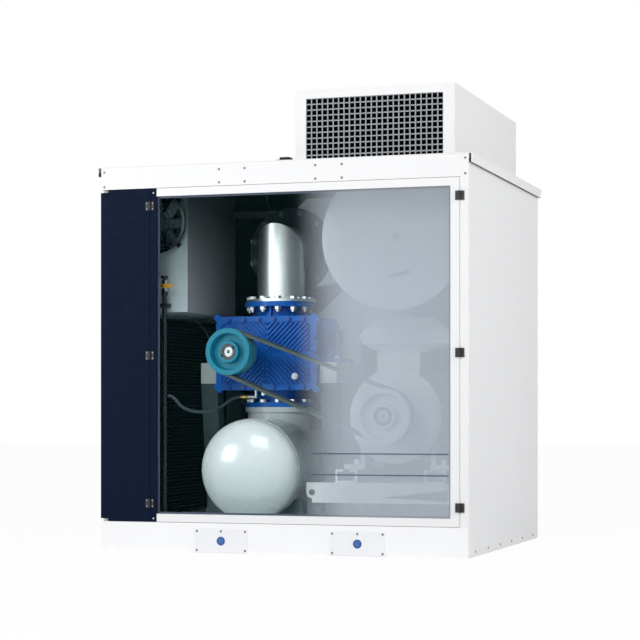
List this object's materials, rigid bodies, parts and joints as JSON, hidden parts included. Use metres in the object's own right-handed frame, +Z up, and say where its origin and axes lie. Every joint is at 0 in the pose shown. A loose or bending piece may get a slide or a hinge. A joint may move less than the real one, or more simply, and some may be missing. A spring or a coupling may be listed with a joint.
{
  "type": "roots vacuum pump",
  "caption": "Belt-driven rotary lobe vacuum pump package in an acoustic enclosure, with a folding windowed door, intake silencer, discharge silencer vessel and a screened roof hood.",
  "frame": {"origin": "centre of the underside of the base, between the side panels and between the front and rear faces", "axes": "+Z up, -Y out of the front with the folding door, +X to the right seen from the front"},
  "size_m": [1.808, 1.5715, 2.149],
  "materials": {
    "white_paint": "satin powder coat",
    "navy_paint": "satin powder coat",
    "blower_blue": "gloss machine enamel",
    "tank_paint": "gloss enamel",
    "grey_paint": "satin enamel",
    "teal_paint": "satin enamel",
    "galvanised": "galvanised sheet",
    "zinc_steel": "zinc plated",
    "steel": "ground steel",
    "cast_iron": "machined cast iron",
    "black_plastic": "moulded plastic",
    "foam": "ribbed acoustic foam",
    "rubber": "moulded rubber",
    "hose_rubber": "oil hose",
    "pane": "clear sheet, part frosted",
    "chrome": "chromed brass",
    "brass": "brass and white metal",
    "yellow_plastic": "dipped lever"
  },
  "bodies": {
    "enclosure": {"base_frame": "white_paint", "fork_covers": "white_paint", "panel_screws": "zinc_steel", "body_panels": "white_paint", "frame_posts": "white_paint", "front_fascia": "white_paint", "roof_panel": "white_paint", "roof_trim": "black_plastic", "roof_hood": "white_paint", "hood_mesh": "grey_paint", "acoustic_lining": "foam", "blower_casing": "blower_blue", "blower_end_plates": "blower_blue", "drive_cover": "blower_blue", "gear_cover": "blower_blue", "rotor_bearings": "steel", "blower_bolts": "zinc_steel", "blower_fittings": "brass", "support_frame": "grey_paint", "v_belts": "rubber", "swing_mounts": "grey_paint", "discharge_tank": "tank_paint", "intake_elbow": "galvanised", "intake_connector": "grey_paint", "intake_drum": "grey_paint", "drum_cover": "grey_paint", "drum_cradle": "grey_paint", "vent_duct": "grey_paint", "fan_housing": "black_plastic", "drain_pipes": "black_plastic", "valve_bodies": "chrome", "drain_hose": "hose_rubber", "sensor_cables": "rubber", "post_hinges": "black_plastic"},
    "main_door": {"door_frame": "white_paint", "navy_stile": "navy_paint", "door_pane": "pane", "door_trim": "black_plastic", "door_hinges": "black_plastic"},
    "narrow_door": {"narrow_leaf": "navy_paint", "leaf_hinges": "black_plastic"},
    "drive_rotor": {"drive_rotor": "steel", "drive_gear": "steel", "blower_pulley": "teal_paint", "blower_bush": "cast_iron"},
    "driven_rotor": {"driven_rotor": "steel", "driven_gear": "steel"},
    "motor_base": {"motor_frame": "grey_paint", "motor_shields": "grey_paint", "motor_cowl": "grey_paint", "terminal_box": "grey_paint", "slide_rails": "galvanised", "swing_platform": "white_paint"},
    "motor_rotor": {"motor_shaft": "steel", "motor_pulley": "teal_paint", "motor_bush": "cast_iron"},
    "ventilation_fan": {"fan_impeller": "black_plastic"},
    "right_lever": {"drain_lever_right": "yellow_plastic"},
    "left_lever": {"drain_lever_left": "yellow_plastic"}
  },
  "joints": [
    {"name": "main_door_hinge", "type": "hinge", "parent": "enclosure", "child": "main_door", "pos_m": [0.849, -0.766, 0.915], "axis": [0, 0, 1], "range_deg": [0, 110]},
    {"name": "narrow_door_hinge", "type": "hinge", "parent": "main_door", "child": "narrow_door", "pos_m": [-0.639, -0.766, 0.915], "axis": [0, 0, 1], "range_deg": [0, 170]},
    {"name": "drive_spin", "type": "hinge", "parent": "enclosure", "child": "drive_rotor", "pos_m": [-0.312, -0.125, 0.935], "axis": [0, 1, 0], "continuous": true},
    {"name": "driven_spin", "type": "hinge", "parent": "enclosure", "child": "driven_rotor", "pos_m": [-0.118, -0.125, 0.935], "axis": [0, 1, 0], "continuous": true},
    {"name": "motor_swing", "type": "hinge", "parent": "enclosure", "child": "motor_base", "pos_m": [0.074, -0.135, 0.275], "axis": [0, -1, 0], "range_deg": [0, 2], "deforming": ["v_belts"]},
    {"name": "motor_spin", "type": "hinge", "parent": "motor_base", "child": "motor_rotor", "pos_m": [0.446, -0.135, 0.631], "axis": [0, 1, 0], "continuous": true},
    {"name": "fan_spin", "type": "hinge", "parent": "enclosure", "child": "ventilation_fan", "pos_m": [-0.66, -0.565, 1.548], "axis": [0, 1, 0], "continuous": true},
    {"name": "right_drain_valve", "type": "hinge", "parent": "enclosure", "child": "right_lever", "pos_m": [-0.614, -0.6655, 1.246], "axis": [0, 1, 0], "range_deg": [0, 90]},
    {"name": "left_drain_valve", "type": "hinge", "parent": "enclosure", "child": "left_lever", "pos_m": [-0.676, -0.6655, 1.246], "axis": [0, 1, 0], "range_deg": [0, 90]}
  ],
  "couplings": [
    {"joint": "driven_spin", "follows": "drive_spin", "ratio": -1},
    {"joint": "motor_spin", "follows": "drive_spin", "ratio": 0.84615}
  ]
}
